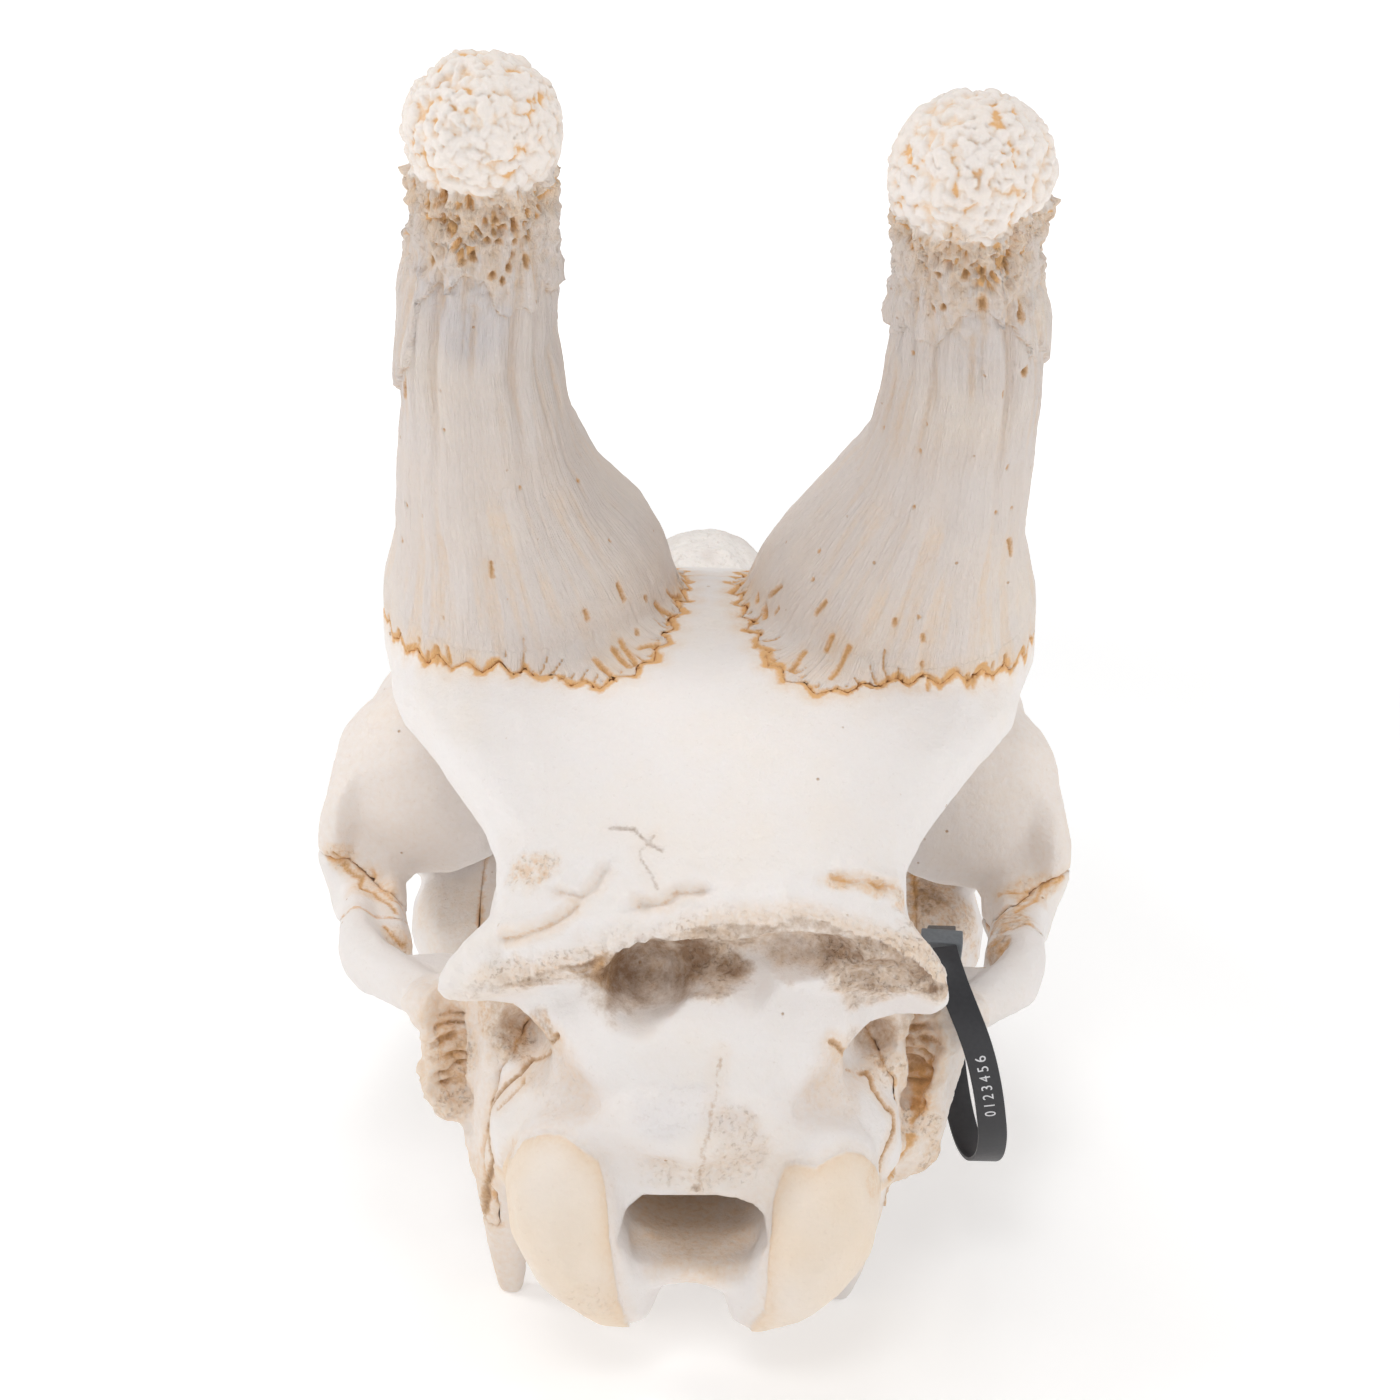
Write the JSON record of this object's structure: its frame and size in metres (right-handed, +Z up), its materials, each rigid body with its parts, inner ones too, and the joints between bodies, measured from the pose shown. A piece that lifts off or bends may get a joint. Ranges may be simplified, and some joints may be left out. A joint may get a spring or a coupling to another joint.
{
  "type": "giraffe skull",
  "caption": "Life-size skull of a young adult giraffe bull without its lower jaw, resting on its cheek teeth, with a collection tag round one arch.",
  "frame": {"origin": "middle of the skull's footprint on the floor that it rests on", "axes": "+Y towards the back of the head, muzzle towards -Y, +X towards the animal's left, +Z up"},
  "size_m": [0.2622, 0.6356, 0.3857],
  "materials": {
    "bone": "dry matt bone, ivory white",
    "horn_bone": "dry matt bone, cool grey white with a rough cap",
    "face_bone": "dry matt bone, warm ivory, with satin enamel on the teeth",
    "tag_black": "satin black",
    "tag_grey": "satin dark grey"
  },
  "bodies": {
    "root": {"cranium": "bone", "frontal": "bone", "ossicone_left": "horn_bone", "ossicone_right": "horn_bone", "ossicone_median": "horn_bone", "nasal_left": "face_bone", "nasal_right": "face_bone", "premaxilla_left": "face_bone", "premaxilla_right": "face_bone", "maxilla_left": "face_bone", "maxilla_right": "face_bone", "lacrimal_left": "face_bone", "lacrimal_right": "face_bone", "jugal_left": "face_bone", "jugal_right": "face_bone", "temporal_left": "bone", "temporal_right": "bone", "pterygoid_left": "face_bone", "pterygoid_right": "face_bone", "tag_strap": "tag_black", "tag_lock": "tag_grey"}
  },
  "joints": []
}
